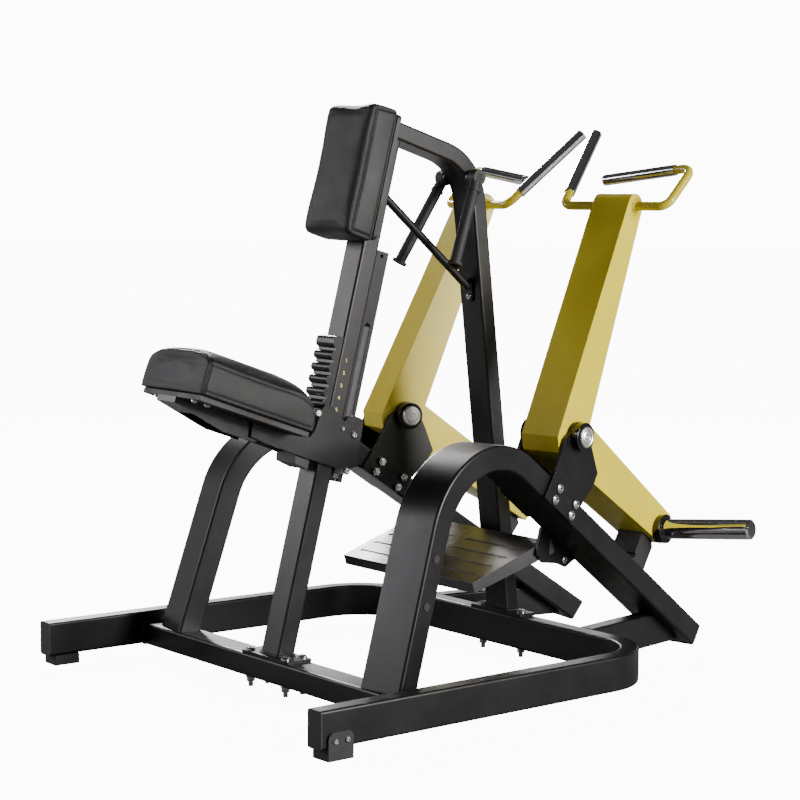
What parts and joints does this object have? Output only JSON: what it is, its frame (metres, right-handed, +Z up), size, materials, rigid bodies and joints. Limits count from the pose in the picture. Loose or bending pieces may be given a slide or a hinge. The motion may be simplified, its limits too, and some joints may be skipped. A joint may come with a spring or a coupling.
{
  "type": "plate-loaded seated row machine",
  "caption": "Plate-loaded seated row machine with a chest pad, a sliding tilted seat, footplates and independent pivoting lever arms with handles and weight horns.",
  "frame": {"origin": "centre of the footprint, on the floor", "axes": "+X to the user's right, across the machine; +Y the way the seated user faces; +Z up"},
  "size_m": [1.1752, 1.452, 1.3709],
  "materials": {
    "black_frame": "satin black powder coat",
    "black_cap": "moulded black",
    "black_board": "satin black board",
    "rack_black": "satin black powder coat",
    "foot_rubber": "matte black",
    "steel_hardware": "zinc plated",
    "roller_white": "white nylon",
    "pad_leather": "black synthetic leather",
    "bearing_gloss": "gloss black",
    "footplate_metal": "satin dark grey powder coat",
    "arm_paint": "satin mustard yellow powder coat",
    "shaft_steel": "turned steel",
    "chrome_sleeve": "polished"
  },
  "bodies": {
    "frame": {"base_tube": "black_frame", "front_crossbar": "black_frame", "tail_tubes": "black_frame", "arch_right": "black_frame", "arch_left": "black_frame", "arch_plugs": "black_cap", "strut_caps": "black_cap", "base_end_caps": "black_cap", "front_feet": "foot_rubber", "foot_screws": "steel_hardware", "rear_feet": "foot_rubber", "front_post": "black_frame", "post_plate": "black_frame", "post_bolts": "steel_hardware", "guide_fin": "black_frame", "seat_rack": "rack_black", "spine": "black_frame", "spine_plate": "black_frame", "spine_bolts": "steel_hardware", "brace_rod": "black_frame", "brace_bolts": "steel_hardware", "chest_board": "black_board", "chest_pad": "pad_leather", "grip_axle": "black_frame", "support_grip_right": "foot_rubber", "support_grip_left": "foot_rubber", "brackets_right": "black_frame", "brackets_left": "black_frame", "bracket_bolts_right": "steel_hardware", "bracket_bolts_left": "steel_hardware", "bearings_right": "bearing_gloss", "bearings_left": "bearing_gloss", "stop_blocks": "foot_rubber", "footplate_right": "footplate_metal", "footplate_left": "footplate_metal", "footplate_frame": "black_frame", "footplate_bolts": "steel_hardware"},
    "seat_carriage": {"carriage_plates": "black_frame", "carriage_rollers": "roller_white", "carriage_screws": "steel_hardware", "carriage_glide": "black_cap", "lock_bar": "steel_hardware", "seat_underframe": "black_frame", "seat_board": "black_board", "seat_screws": "steel_hardware", "seat_pad": "pad_leather"},
    "arm_right": {"arm_right": "arm_paint", "shaft_right": "shaft_steel", "handle_right": "arm_paint", "grips_right": "chrome_sleeve", "horn_right": "chrome_sleeve", "horn_collar_right": "foot_rubber"},
    "arm_left": {"arm_left": "arm_paint", "shaft_left": "shaft_steel", "handle_left": "arm_paint", "grips_left": "chrome_sleeve", "horn_left": "chrome_sleeve", "horn_collar_left": "foot_rubber"}
  },
  "joints": [
    {"name": "arm_right_pivot", "type": "hinge", "parent": "frame", "child": "arm_right", "pos_m": [0.3072, 0.16977, 0.59188], "axis": [0.9836, 0.1805, 0], "range_deg": [0, 60]},
    {"name": "arm_left_pivot", "type": "hinge", "parent": "frame", "child": "arm_left", "pos_m": [-0.3072, 0.16977, 0.59188], "axis": [0.9836, -0.1805, 0], "range_deg": [0, 60]},
    {"name": "seat_slide", "type": "slide", "parent": "frame", "child": "seat_carriage", "axis": [0, 0.247, 0.969], "range_m": [0, 0.116]}
  ]
}
